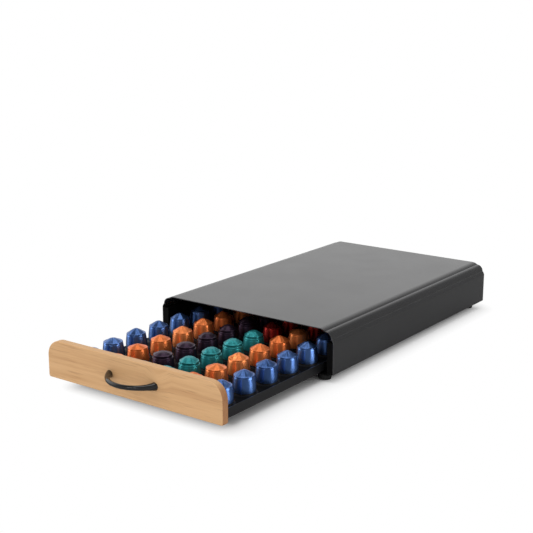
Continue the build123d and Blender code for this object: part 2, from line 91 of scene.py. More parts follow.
# %% Camera
camera_data = bpy.data.cameras.new("camera")
camera_data.lens = 74.2
camera_data.sensor_width = 36.0
camera = bpy.data.objects.new("camera", camera_data)
camera.location = (0.89535, -1.26214, 0.50860)
camera.rotation_euler = (math.radians(75.88), 0.0, math.radians(36.30))
scene.collection.objects.link(camera)
scene.camera = camera
scene.view_settings.view_transform = "Standard"
print("camera at", tuple(round(c, 3) for c in camera.location))

# %% [markdown]
# ## A helper for shader nodes
# Every finish below is a small graph of nodes. This helper adds one node, applies its
# settings, and fills its inputs by name: a socket is linked, anything else is a value.

# %% Node helper
def add_node(tree, kind, inputs=None, **settings):
    made = tree.nodes.new(kind)
    for key, value in settings.items():
        setattr(made, key, value)
    for key, value in (inputs or {}).items():
        if isinstance(value, bpy.types.NodeSocket):
            tree.links.new(value, made.inputs[key])
        else:
            made.inputs[key].default_value = value
    return made


def add_math(tree, operation, first, second=None, clamp=False):
    inputs = {0: first}
    if second is not None:
        inputs[1] = second
    made = add_node(tree, "ShaderNodeMath", inputs, operation=operation, use_clamp=clamp)
    return made.outputs[0]


def add_vector_math(tree, operation, first, second=None, output="Vector"):
    inputs = {0: first}
    if second is not None:
        inputs[1] = second
    return add_node(tree, "ShaderNodeVectorMath", inputs, operation=operation).outputs[output]


def add_range(tree, value, low, high, to_low, to_high, shape="LINEAR"):
    inputs = {
        "Value": value,
        "From Min": low,
        "From Max": high,
        "To Min": to_low,
        "To Max": to_high,
    }
    return add_node(tree, "ShaderNodeMapRange", inputs, interpolation_type=shape).outputs["Result"]


def add_mix(tree, factor, first, second, blend="MIX"):
    inputs = {0: factor, 6: first, 7: second}
    return add_node(tree, "ShaderNodeMix", inputs, data_type="RGBA", blend_type=blend).outputs[2]


print("node helpers ready")

# %% [markdown]
# ## Shared effect: fine grain and soft patches
# Powder coat, moulded plastic, rubber and wood all show two things: a grain too fine to
# count, and slow patches where the gloss differs a little. One node group gives both,
# and each material sets its own sizes. The group puts out a normal and a mask only, so
# the shader itself stays in the material.

# %% Grain group
def group_socket(group, name, kind, way, value=None):
    made = group.interface.new_socket(name=name, in_out=way, socket_type=kind)
    if value is not None:
        made.default_value = value
    return made


def make_grain_group():
    group = bpy.data.node_groups.new("fine grain and patches", "ShaderNodeTree")
    group_socket(group, "Coordinates", "NodeSocketVector", "INPUT")
    group_socket(group, "Grain per Metre", "NodeSocketFloat", "INPUT", 1200.0)
    group_socket(group, "Grain Height", "NodeSocketFloat", "INPUT", 0.00002)
    group_socket(group, "Patches per Metre", "NodeSocketFloat", "INPUT", 12.0)
    group_socket(group, "Normal", "NodeSocketVector", "OUTPUT")
    group_socket(group, "Patches", "NodeSocketFloat", "OUTPUT")
    given = group.nodes.new("NodeGroupInput")
    result = group.nodes.new("NodeGroupOutput")
    place = given.outputs["Coordinates"]
    grain_inputs = {"Vector": place, "Scale": given.outputs["Grain per Metre"], "Detail": 2.0}
    grain = add_node(group, "ShaderNodeTexNoise", grain_inputs)
    bump_inputs = {
        "Height": grain.outputs["Fac"],
        "Distance": given.outputs["Grain Height"],
        "Strength": 1.0,
    }
    bump = add_node(group, "ShaderNodeBump", bump_inputs)
    patch_inputs = {"Vector": place, "Scale": given.outputs["Patches per Metre"], "Detail": 4.0}
    patch = add_node(group, "ShaderNodeTexNoise", patch_inputs)
    spread = add_range(group, patch.outputs["Fac"], 0.25, 0.75, 0.0, 1.0, "SMOOTHSTEP")
    group.links.new(bump.outputs["Normal"], result.inputs["Normal"])
    group.links.new(spread, result.inputs["Patches"])
    return group


grain_group = make_grain_group()
print("group:", grain_group.name)

# %% [markdown]
# ## Shared effect: rubbed edge and painted highlight
# Handling polishes the edges of painted and wooden pieces, and the lighter colour along
# them is also a painted highlight, for the light that a rounded edge would catch. The
# Bevel node returns the normal as if the edge were rounded, and where it leaves the true
# normal there is an edge. That difference is a mask, broken up by a noise so that it
# isn't a drawn line.

# %% Rubbed edge and painted highlight group
def make_edge_rub_and_highlight_group():
    group = bpy.data.node_groups.new("rubbed edge and painted highlight", "ShaderNodeTree")
    group_socket(group, "Coordinates", "NodeSocketVector", "INPUT")
    group_socket(group, "Width", "NodeSocketFloat", "INPUT", 0.0008)
    group_socket(group, "Amount", "NodeSocketFloat", "INPUT", 1.0)
    group_socket(group, "Mask", "NodeSocketFloat", "OUTPUT")
    given = group.nodes.new("NodeGroupInput")
    result = group.nodes.new("NodeGroupOutput")
    rounded = add_node(group, "ShaderNodeBevel", {"Radius": given.outputs["Width"]}, samples=4)
    flat = group.nodes.new("ShaderNodeNewGeometry")
    normals = (rounded.outputs["Normal"], flat.outputs["Normal"])
    facing = add_vector_math(group, "DOT_PRODUCT", *normals, output="Value")
    away = add_math(group, "SUBTRACT", 1.0, facing)
    edge = add_range(group, away, 0.01, 0.12, 0.0, 1.0)
    broken_inputs = {"Vector": given.outputs["Coordinates"], "Scale": 60.0, "Detail": 3.0}
    broken = add_node(group, "ShaderNodeTexNoise", broken_inputs)
    patchy = add_range(group, broken.outputs["Fac"], 0.3, 0.7, 0.55, 1.0)
    mask = add_math(group, "MULTIPLY", edge, patchy)
    mask = add_math(group, "MULTIPLY", mask, given.outputs["Amount"], clamp=True)
    group.links.new(mask, result.inputs["Mask"])
    return group


edge_rub_and_highlight_group = make_edge_rub_and_highlight_group()
print("group:", edge_rub_and_highlight_group.name)

# %% [markdown]
# ## Painted, moulded and plated finishes
# Black parts aren't all one black. The housing has a satin powder coat that mirrors the
# bright room at a low angle, the plate under the pods is a duller moulded plastic, the
# glides are smooth nylon, the feet are matt rubber and the screws are plated. They use
# one recipe: a base colour that shifts a little with the patches, a roughness between
# two values, and a lighter edge, partly rubbed by handling and partly a painted highlight.

# %% Recipe for plain finishes
patches_per_metre = 14.0


def use_group(tree, group, inputs):
    made = add_node(tree, "ShaderNodeGroup", None, node_tree=group)
    for key, value in inputs.items():
        if isinstance(value, bpy.types.NodeSocket):
            tree.links.new(value, made.inputs[key])
        else:
            made.inputs[key].default_value = value
    return made


def new_finish(name):
    material = bpy.data.materials.new(name)
    material.use_nodes = True
    tree = material.node_tree
    tree.nodes.clear()
    shader = tree.nodes.new("ShaderNodeBsdfPrincipled")
    output = tree.nodes.new("ShaderNodeOutputMaterial")
    tree.links.new(shader.outputs["BSDF"], output.inputs["Surface"])
    place = tree.nodes.new("ShaderNodeTexCoord").outputs["Object"]
    return material, tree, shader, place


def plain_finish(
    name, dark, light, rub_and_highlight_colour, rough, grain=(1200.0, 0.00002), rub_and_highlight=0.5, metal=0.0, shine=0.5
):
    material, tree, shader, place = new_finish(name)
    inputs = {
        "Coordinates": place,
        "Grain per Metre": grain[0],
        "Grain Height": grain[1],
        "Patches per Metre": patches_per_metre,
    }
    skin = use_group(tree, grain_group, inputs)
    # The lighter edge colour is partly rubbed paint and partly a painted highlight.
    edge = use_group(tree, edge_rub_and_highlight_group, {"Coordinates": place, "Amount": rub_and_highlight})
    colour = add_mix(tree, skin.outputs["Patches"], (*dark, 1.0), (*light, 1.0))
    colour = add_mix(tree, edge.outputs["Mask"], colour, (*rub_and_highlight_colour, 1.0))
    tree.links.new(colour, shader.inputs["Base Color"])
    roughness = add_range(tree, skin.outputs["Patches"], 0.0, 1.0, rough[0], rough[1])
    tree.links.new(roughness, shader.inputs["Roughness"])
    tree.links.new(skin.outputs["Normal"], shader.inputs["Normal"])
    shader.inputs["Metallic"].default_value = metal
    shader.inputs["Specular IOR Level"].default_value = shine
    return material


# %% [markdown]
# ## Each plain finish
# The blacks differ in gloss more than in colour. The housing's paint has a satin gloss
# and a pale edge, partly rubbed and partly a painted highlight, the lacquered handle is
# smoother, and the pieces inside and the plate under the pods are dull and darker still,
# partly a painted shade, so that the drawer stays dark between the pods. Image textures
# could do this too, but a few numbers for each finish are easier to compare and to change.

# %% The plain finishes, with a dark, a light and an edge colour (rubbed, and partly a painted highlight) and a roughness range
finishes = {}
finishes["black_steel"] = plain_finish(
    "black_steel", (0.016, 0.016, 0.017), (0.0195, 0.0195, 0.0205), (0.20, 0.20, 0.205),
    (0.23, 0.27), shine=0.65,
)
finishes["black_pan_steel"] = plain_finish(
    "black_pan_steel", (0.007, 0.007, 0.008), (0.010, 0.010, 0.011), (0.06, 0.06, 0.06),
    (0.36, 0.42), shine=0.45,
)
# The inner pieces are darker than the housing's paint: partly a painted shade inside the housing.
finishes["black_inner_steel"] = plain_finish(
    "black_inner_steel", (0.003, 0.003, 0.003), (0.005, 0.005, 0.005), (0.02, 0.02, 0.02),
    (0.5, 0.6), shine=0.08,
)
finishes["handle_black"] = plain_finish(
    "handle_black", (0.003, 0.003, 0.003), (0.005, 0.005, 0.005), (0.03, 0.03, 0.03),
    (0.11, 0.15), grain=(700.0, 0.00001), rub_and_highlight=0.3, shine=1.0,
)
# The plate is darker than its plastic would be: partly a painted shade between the pods.
finishes["plate_black"] = plain_finish(
    "plate_black", (0.003, 0.003, 0.003), (0.005, 0.005, 0.005), (0.012, 0.012, 0.012),
    (0.6, 0.7), grain=(1600.0, 0.00004), rub_and_highlight=0.3, shine=0.08,
)
finishes["glide_nylon"] = plain_finish(
    "glide_nylon", (0.03, 0.03, 0.032), (0.045, 0.045, 0.047), (0.10, 0.10, 0.10),
    (0.38, 0.46),
)
finishes["rubber"] = plain_finish(
    "rubber", (0.010, 0.010, 0.010), (0.016, 0.016, 0.016), (0.04, 0.04, 0.04),
    (0.7, 0.82), grain=(900.0, 0.00005),
)
finishes["zinc"] = plain_finish(
    "zinc", (0.50, 0.51, 0.52), (0.62, 0.63, 0.64), (0.75, 0.75, 0.75),
    (0.25, 0.38), metal=1.0,
)
finishes["black_fastener"] = plain_finish(
    "black_fastener", (0.012, 0.012, 0.013), (0.02, 0.02, 0.021), (0.16, 0.16, 0.16),
    (0.34, 0.42),
)
finishes["pod_foil"] = plain_finish(
    "pod_foil", (0.70, 0.70, 0.71), (0.80, 0.80, 0.81), (0.85, 0.85, 0.85),
    (0.22, 0.34), grain=(350.0, 0.00004), metal=1.0,
)
print("plain finishes:", sorted(finishes))

# %% [markdown]
# ## Wood of the drawer front
# The front is one pale board with its grain lying along the drawer's width. Grain is
# noise stretched along X: slow bands, fibres a few millimetres thick and short dark
# pores. A slow sideways push on the coordinates keeps the lines from being ruled, and
# round one small knot they bend more. The two ends show the cut fibres, which drink in
# more lacquer and look darker and redder.

# %% Wood
knot = (0.046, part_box("front_panel")[0].y, 0.052)
knot_reach = 0.022
knot_lift = 0.011
band_stretch = (2.5, 70.0, 70.0)
fibre_stretch = (9.0, 400.0, 400.0)
pore_stretch = (26.0, 800.0, 800.0)
drift_push = (0.0, 0.004, 0.009)
band_dark = (0.50, 0.275, 0.117, 1.0)
band_light = (0.62, 0.368, 0.172, 1.0)
fibre_light = (0.68, 0.425, 0.215, 1.0)
pore_dark = (0.26, 0.125, 0.045, 1.0)
end_tint = (0.60, 0.46, 0.37, 1.0)
wood_rub_and_highlight = (0.62, 0.42, 0.225, 1.0)


def make_wood():
    material, tree, shader, place = new_finish("bamboo")
    drift_in = add_node(tree, "ShaderNodeMapping", {"Vector": place, "Scale": (4.0, 14.0, 14.0)})
    drift_inputs = {"Vector": drift_in.outputs[0], "Scale": 1.0, "Detail": 2.0}
    drift = add_node(tree, "ShaderNodeTexNoise", drift_inputs).outputs["Color"]
    push = add_vector_math(tree, "MULTIPLY", drift, drift_push)
    bent = add_vector_math(tree, "ADD", place, push)
    away = add_vector_math(tree, "DISTANCE", place, knot, "Value")
    lift = add_range(tree, away, 0.0, knot_reach, knot_lift, 0.0)
    lift = add_node(tree, "ShaderNodeCombineXYZ", {"Z": lift}).outputs[0]
    bent = add_vector_math(tree, "ADD", bent, lift)

    def streaks(scale, detail):
        stretched = add_node(tree, "ShaderNodeMapping", {"Vector": bent, "Scale": scale})
        inputs = {"Vector": stretched.outputs[0], "Scale": 1.0, "Detail": detail, "Roughness": 0.55}
        return add_node(tree, "ShaderNodeTexNoise", inputs).outputs["Fac"]

    bands = streaks(band_stretch, 2.0)
    fibres = streaks(fibre_stretch, 3.0)
    pores = streaks(pore_stretch, 1.0)
    tone = add_range(tree, bands, 0.32, 0.68, 0.0, 1.0)
    colour = add_mix(tree, tone, band_dark, band_light)
    thread = add_range(tree, fibres, 0.35, 0.65, 0.0, 1.0)
    thread = add_math(tree, "MULTIPLY", thread, 0.5)
    colour = add_mix(tree, thread, colour, fibre_light)
    pore = add_range(tree, pores, 0.60, 0.74, 0.0, 0.42)
    colour = add_mix(tree, pore, colour, pore_dark)
    normal = tree.nodes.new("ShaderNodeTexCoord").outputs["Normal"]
    side = add_node(tree, "ShaderNodeSeparateXYZ", {0: normal}).outputs["X"]
    end = add_range(tree, add_math(tree, "ABSOLUTE", side), 0.45, 0.85, 0.0, 1.0)
    cut_end = add_mix(tree, 1.0, colour, end_tint, "MULTIPLY")
    colour = add_mix(tree, end, colour, cut_end)
    # The lighter edge on the board is partly rubbed and partly a painted highlight.
    edge = use_group(tree, edge_rub_and_highlight_group, {"Coordinates": place, "Width": 0.0012, "Amount": 0.25})
    colour = add_mix(tree, edge.outputs["Mask"], colour, wood_rub_and_highlight)
    tree.links.new(colour, shader.inputs["Base Color"])
    tree.links.new(add_range(tree, fibres, 0.3, 0.7, 0.46, 0.60), shader.inputs["Roughness"])
    relief = add_math(tree, "SUBTRACT", fibres, pore)
    bump_inputs = {"Height": relief, "Distance": 0.00006, "Strength": 1.0}
    bump = add_node(tree, "ShaderNodeBump", bump_inputs)
    tree.links.new(bump.outputs["Normal"], shader.inputs["Normal"])
    return material


finishes["bamboo"] = make_wood()
print("wood nodes:", len(finishes["bamboo"].node_tree.nodes))

# %% [markdown]
# ## Shared effect: drawn foil
# The pods are deep-drawn from thin anodised foil. Drawing leaves faint upright flow
# lines on the wall and handling leaves shallow dimples, so a highlight on the metal has
# a ragged border. The flow lines follow each pod's own UV map: U goes round it, V up it.

# %% Foil group
def make_foil_group():
    group = bpy.data.node_groups.new("drawn foil", "ShaderNodeTree")
    group_socket(group, "Coordinates", "NodeSocketVector", "INPUT")
    group_socket(group, "Round and Up", "NodeSocketVector", "INPUT")
    group_socket(group, "Dimple Depth", "NodeSocketFloat", "INPUT", 0.00012)
    group_socket(group, "Line Depth", "NodeSocketFloat", "INPUT", 0.00003)
    group_socket(group, "Normal", "NodeSocketVector", "OUTPUT")
    group_socket(group, "Patches", "NodeSocketFloat", "OUTPUT")
    given = group.nodes.new("NodeGroupInput")
    result = group.nodes.new("NodeGroupOutput")
    dimple_inputs = {"Vector": given.outputs["Coordinates"], "Scale": 210.0, "Detail": 2.0}
    dimple = add_node(group, "ShaderNodeTexNoise", dimple_inputs)
    stretched_inputs = {"Vector": given.outputs["Round and Up"], "Scale": (90.0, 2.5, 1.0)}
    stretched = add_node(group, "ShaderNodeMapping", stretched_inputs)
    line_inputs = {"Vector": stretched.outputs[0], "Scale": 1.0, "Detail": 2.0}
    line = add_node(group, "ShaderNodeTexNoise", line_inputs)
    first_inputs = {
        "Height": dimple.outputs["Fac"],
        "Distance": given.outputs["Dimple Depth"],
        "Strength": 1.0,
    }
    first = add_node(group, "ShaderNodeBump", first_inputs)
    second_inputs = {
        "Height": line.outputs["Fac"],
        "Distance": given.outputs["Line Depth"],
        "Strength": 1.0,
        "Normal": first.outputs["Normal"],
    }
    second = add_node(group, "ShaderNodeBump", second_inputs)
    patches = add_range(group, line.outputs["Fac"], 0.3, 0.7, 0.0, 1.0)
    group.links.new(second.outputs["Normal"], result.inputs["Normal"])
    group.links.new(patches, result.inputs["Patches"])
    return group


foil_group = make_foil_group()
print("group:", foil_group.name)

# %% [markdown]
# ## Anodised pod colours
# Anodising dyes a clear oxide layer over bright aluminium, so a pod is a coloured metal
# and not a paint: its highlights take the pod's colour. Rolling and turning leave lines
# that run round the pod, which draw a highlight out into an upright streak. Each pod
# carries a tone value of its own, which shifts its colour a little, as a real batch does.

# %% Pod finishes
line_share = 0.35


def pod_finish(name, deep, bright, rough, metal):
    material, tree, shader, place = new_finish(name)
    around = add_node(tree, "ShaderNodeUVMap", None, uv_map="round_and_up").outputs["UV"]
    skin = use_group(tree, foil_group, {"Coordinates": place, "Round and Up": around})
    tone = add_node(tree, "ShaderNodeAttribute", None, attribute_name="tone").outputs["Fac"]
    lines = add_math(tree, "MULTIPLY", skin.outputs["Patches"], line_share)
    batch = add_math(tree, "MULTIPLY", tone, 1.0 - line_share)
    shade = add_math(tree, "ADD", lines, batch, clamp=True)
    colour = add_mix(tree, shade, (*deep, 1.0), (*bright, 1.0))
    tree.links.new(colour, shader.inputs["Base Color"])
    roughness = add_range(tree, skin.outputs["Patches"], 0.0, 1.0, rough[0], rough[1])
    tree.links.new(roughness, shader.inputs["Roughness"])
    tree.links.new(skin.outputs["Normal"], shader.inputs["Normal"])
    shader.inputs["Metallic"].default_value = metal
    tangent = add_node(
        tree, "ShaderNodeTangent", None, direction_type="UV_MAP", uv_map="round_and_up"
    )
    tree.links.new(tangent.outputs[0], shader.inputs["Tangent"])
    shader.inputs["Anisotropic"].default_value = 0.8
    shader.inputs["Anisotropic Rotation"].default_value = 0.25
    return material


# a deep and a bright colour, a roughness range and how metallic the dye leaves the foil
pod_colours = {
    "blue": ((0.062, 0.130, 0.34), (0.102, 0.200, 0.48), (0.30, 0.36), 0.95),
    "orange": ((0.80, 0.175, 0.040), (0.93, 0.29, 0.090), (0.34, 0.42), 0.80),
    "plum": ((0.034, 0.020, 0.036), (0.060, 0.034, 0.060), (0.34, 0.40), 0.9),
    "teal": ((0.026, 0.24, 0.26), (0.036, 0.34, 0.36), (0.34, 0.40), 0.75),
    "red": ((0.32, 0.020, 0.016), (0.50, 0.040, 0.030), (0.32, 0.38), 0.9),
}
for colour, recipe in pod_colours.items():
    finishes[f"pod_{colour}"] = pod_finish(f"pod_{colour}", *recipe)
# Dark finish of the seal ring, which also paints shade on the rim and the foot of the wall.
finishes["seal_and_painted_shade"] = plain_finish(
    "seal_and_painted_shade", (0.004, 0.004, 0.005), (0.008, 0.008, 0.009), (0.02, 0.02, 0.02),
    (0.5, 0.6), rub_and_highlight=0.2, shine=0.2,
)
print("finishes:", len(finishes))

# %% [markdown]
# ## Finishes on the CAD pieces
# Each CAD node arrives with a plain material named after its slot in the record. The
# mesh stays as it is, and only the material in its slot changes. The drawer's pan is a
# duller coat of the same paint.

# %% Dress the CAD nodes
for cad_node in frame["nodes"].values():
    for holder in cad_node.material_slots:
        holder.material = finishes[holder.material.name.split(".")[0]]
frame["nodes"]["drawer_pan"].material_slots[0].material = finishes["black_pan_steel"]
print("dressed", len(frame["nodes"]), "CAD nodes")

# %% [markdown]
# ## One pod
# A pod is a round cup that stands mouth down: a rolled rim with a seal ring on it,
# a tapering wall, a rolled shoulder and a low cone pressed into flat facets. The seal
# ring is dark itself, and the dark on the rest of the rim and the foot of the wall is
# painted shade low in the well. It could be a subdivided cylinder, but a spun outline is
# closer to how it's drawn in the factory, and gives every ring its true radius. The plum
# and teal pods have a narrower neck over a ring, so there are two outlines, put together
# from the same few curves.

# %% Outlines of the two kinds of pod, radius and height in millimetres
rim_radius = 17.9
rim_top = 1.45
seal_edges = (17.2, 15.2)
foot_radius = 14.2
belly_radius = 15.1
belly_height = 8.5
shoulder_radius = 13.0
shoulder_height = 24.5
crown_height = 30.6
stepped_crown_height = 29.0
bead = 0.35
neck_radius = 12.4
ring_height = 20.6
plain_flat = 2.2
stepped_flat = 5.2
foot_curve = 2
wall_curve = 1.3
cone_swell = 0.45
cone_steps = 7


def bend(start, corner, end, count=4):
    points = []
    for i in range(count + 1):
        t = i / count
        shares = ((1 - t) ** 2, 2 * t * (1 - t), t * t)
        pairs = list(zip(shares, (start, corner, end)))
        points.append(tuple(sum(share * point[k] for share, point in pairs) for k in (0, 1)))
    return points


def wall_radius(height):
    if height < belly_height:
        share = (belly_height - height) / (belly_height - rim_top)
        return belly_radius - (belly_radius - foot_radius) * share ** foot_curve
    share = (height - belly_height) / (shoulder_height - belly_height)
    return belly_radius - (belly_radius - shoulder_radius) * share ** wall_curve


def wall(low, high, count):
    heights = [low + (high - low) * i / count for i in range(count + 1)]
    return [(wall_radius(height), height) for height in heights]


def rolled(radius, top):
    under = bend((radius, top - 1.5), (radius + bead, top - 1.4), (radius + bead, top - 1.0), 2)
    over = bend((radius + bead, top - 0.9), (radius + bead, top), (radius - 0.7, top), 5)
    return under + over


def cone(radius, flat, top):
    low = (radius - 1.4, shoulder_height + 0.25)
    high = (flat + 0.9, top - 0.55)
    side = []
    for i in range(cone_steps + 1):
        radius_here = low[0] + (high[0] - low[0]) * i / cone_steps
        height_here = low[1] + (high[1] - low[1]) * i / cone_steps
        side.append((radius_here, height_here + cone_swell * math.sin(math.pi * i / cone_steps)))
    crown = bend((flat + 0.6, top - 0.35), (flat, top), (flat - 0.9, top), 3)
    return side + crown + [(flat * 0.5, top), (0.0, top)]


def foot():
    points = [(0.0, 0.35), (rim_radius - 0.7, 0.35)]
    points += bend((rim_radius - 0.5, 0.32), (rim_radius, 0.32), (rim_radius, 0.85), 3)
    points += bend((rim_radius, 0.95), (rim_radius, rim_top), (rim_radius - 0.5, rim_top), 3)
    seal_middle = (sum(seal_edges) / 2, rim_top + 0.4)
    return points + bend((seal_edges[0], rim_top), seal_middle, (seal_edges[1], rim_top), 4)


wall_foot = rim_top + 0.1
under_roll = 1.8
plain_outline = foot() + wall(wall_foot, shoulder_height - under_roll, 11)
plain_outline += rolled(shoulder_radius, shoulder_height)
plain_outline += cone(shoulder_radius, plain_flat, crown_height)
ring_radius = wall_radius(ring_height)
stepped_outline = foot() + wall(wall_foot, ring_height - under_roll, 10)
stepped_outline += rolled(ring_radius, ring_height)
ring_inside = (ring_radius - 0.9, ring_height)
neck_foot = (neck_radius, ring_height + 1.2)
stepped_outline += bend(ring_inside, (neck_radius, ring_height), neck_foot, 3)
stepped_outline += rolled(neck_radius, shoulder_height)
stepped_outline += cone(neck_radius, stepped_flat, stepped_crown_height)
print("outline points:", len(plain_outline), len(stepped_outline))

# %% [markdown]
# ## From outline to pod
# The outline goes once round the Z axis. A screw modifier could do that too, but spin
# gives real vertices at once, which are then marked and moved. A UV map is written on
# them, because turning marks and flow lines follow the wall. Then the facets are pressed
# in: each ring of the cone is lowered most between two ridges, which leaves the ridges
# crisp. The faces near the rim get a dark finish: the seal ring's own, and painted shade
# on the rest of the rim and the foot of the wall.

# %% Spin an outline and press the facets
# Below this height the pod gets the dark finish: the seal, and painted shade on the rim and the
# foot of the wall.
seal_and_shade_top = rim_top + 1.2
outer_fade = 1.2
inner_fade = 2.5
flat_share = 0.6


def press_facets(bm, edge_radius, flat, facets, depth):
    for vert in bm.verts:
        radius = math.hypot(vert.co.x, vert.co.y) / MM
        if vert.co.z / MM < shoulder_height or radius > edge_radius or radius < 0.01:
            continue
        outer = min(1.0, (edge_radius - radius) / outer_fade)
        inner = min(1.0, max(0.0, (radius - flat * flat_share) / inner_fade))
        ridge = abs(math.sin(facets * math.atan2(vert.co.y, vert.co.x) / 2))
        vert.co.z -= depth * MM * outer * inner * ridge


def make_pod_form(name, outline, edge_radius, flat, depth, facets=10, steps=80):
    bm = bmesh.new()
    points = [bm.verts.new((radius * MM, 0.0, height * MM)) for radius, height in outline]
    edges = [bm.edges.new(pair) for pair in zip(points, points[1:])]
    bmesh.ops.spin(
        bm, geom=points + edges, cent=(0, 0, 0), axis=(0, 0, 1), dvec=(0, 0, 0),
        angle=2 * math.pi, steps=steps, use_merge=True,
    )
    bmesh.ops.remove_doubles(bm, verts=bm.verts, dist=0.00001)
    bmesh.ops.recalc_face_normals(bm, faces=bm.faces)
    uv = bm.loops.layers.uv.new("round_and_up")
    for face in bm.faces:
        face.material_index = 1 if face.calc_center_median().z < seal_and_shade_top * MM else 0
        face.smooth = True
        corners = [loop.vert.co for loop in face.loops]
        turns = [math.atan2(corner.y, corner.x) / (2 * math.pi) for corner in corners]
        crosses = max(turns) - min(turns) > 0.5
        for loop, turn in zip(face.loops, turns):
            u = turn + 1 if crosses and turn < 0 else turn
            loop[uv].uv = (u, loop.vert.co.z / MM / crown_height)
    press_facets(bm, edge_radius, flat, facets, depth)
    mesh = bpy.data.meshes.new(name)
    bm.to_mesh(mesh)
    bm.free()
    return mesh


cone_inset = 0.8
plain_form = make_pod_form(
    "plain_pod_form", plain_outline, shoulder_radius - cone_inset, plain_flat, depth=0.34
)
stepped_form = make_pod_form(
    "stepped_pod_form", stepped_outline, neck_radius - cone_inset, stepped_flat, depth=0.30
)
print("faces in one pod:", len(plain_form.polygons), len(stepped_form.polygons))

# %% [markdown]
# ## Fifty-four pods
# The drawer holds nine rows of six pods. Their places could be typed in, but the CAD
# lids already give them: the box round all the lids, less one lid, is the grid of the
# wells. So the pods stay in their wells when the CAD changes.

# %% Grid of the wells
lid_low, lid_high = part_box("pod_lids")
lid_radius = 17.5 * MM
column_pitch = (lid_high.x - lid_low.x - 2 * lid_radius) / 5
row_pitch = (lid_high.y - lid_low.y - 2 * lid_radius) / 8
columns = [lid_low.x + lid_radius + i * column_pitch for i in range(6)]
rows = [lid_low.y + lid_radius + j * row_pitch for j in range(9)]
well_floor = lid_low.z
print("pitch:", round(column_pitch, 5), round(row_pitch, 5), "floor:", round(well_floor, 5))


def colour_of(column, row):
    if column in (0, 5):
        return "blue"
    if column == 1:
        return "orange"
    if column == 2:
        return "plum"
    if column == 3:
        return "teal" if row < 5 else "red"
    return "orange" if row < 6 else "red"


# %% [markdown]
# ## What handling does to a pod
# Pods are thin foil, so no two are alike. A slow noise pushes the wall in and out by a
# tenth of a millimetre. A pod stands loose in its well, so it leans a degree or two. A
# few cones were pressed flatter than the others, and one orange pod has been knocked, so
# that its cone is pushed in on one side. The vertices themselves move, because a bump
# would shade the metal and leave its outline perfect. Sines of the pod's number scatter
# the leans and tones, so that every run gives the same drawer, with no random draws.

# %% Dimples, a little lean and one knocked cone
outward_lean = 1.3
scatter_across = 0.8
scatter_along = 1.0
across_step = 2.3
along_step = 1.1
dimple_depth = 0.10 * MM
dimple_floor = 2.5 * MM
dimples_across = 90
dimples_upright = 60
dimples_apart = 7.3
cone_floor = 24.2 * MM
cone_push = 0.8
knocked_pod = (4, 2)
knock_centre = Vector((-2.5, -8.5, 26.0)) * MM
knock_radius = 7.5 * MM
knock_depth = 4.6 * MM


def number_of(column, row):
    return column * len(rows) + row


def lean_of(column, row):
    if row == 0 and column < 3:
        return 0.0, 0.0
    number = number_of(column, row)
    across = outward_lean * (column - 2.5) / 2.5 + scatter_across * math.sin(number * across_step)
    along = scatter_along * math.sin(number * along_step + 0.5)
    return math.radians(across), math.radians(along)


def dimple(verts, seed):
    for vert in verts:
        radius = math.hypot(vert.co.x, vert.co.y)
        if vert.co.z < dimple_floor or radius < 1 * MM:
            continue
        x, y = vert.co.x * dimples_across, vert.co.y * dimples_across
        z = vert.co.z * dimples_upright + seed * dimples_apart
        push = noise.noise(Vector((x, y, z))) * dimple_depth
        vert.co.x += vert.co.x / radius * push
        vert.co.y += vert.co.y / radius * push
        if vert.co.z > cone_floor:
            vert.co.z += push * cone_push


def knock(verts):
    for vert in verts:
        near = (vert.co - knock_centre).length / knock_radius
        if near < 1:
            vert.co.z -= knock_depth * (1 - near * near) ** 2


def flatten(verts, share):
    for vert in verts:
        over = vert.co.z - shoulder_height * MM
        if over > 0:
            vert.co.z -= over * (1 - share)


flatter_cones = {
    (0, 0): 0.05, (1, 0): 0.05, (2, 0): 0.4, (3, 0): 0.9, (0, 1): 0.75, (1, 1): 0.66, (2, 1): 0.62,
    (1, 2): 0.85, (2, 2): 0.75, (4, 1): 0.72, (4, 5): 0.6,
}
print("pods in the grid:", len(columns) * len(rows), "with a flatter cone:", len(flatter_cones))

# %% [markdown]
# ## One piece for each colour
# All pods of one colour become one mesh, because the CAD has one node for each colour,
# which the new piece stands in for. Instances would be lighter, but each pod here has a
# lean and dimples of its own. Every pod is turned by the golden angle from the one
# before, so that no ridges line up, and rests on one side of its rim.

# %% Place the pods
golden_turn = 2.399
tone_step = 1.7


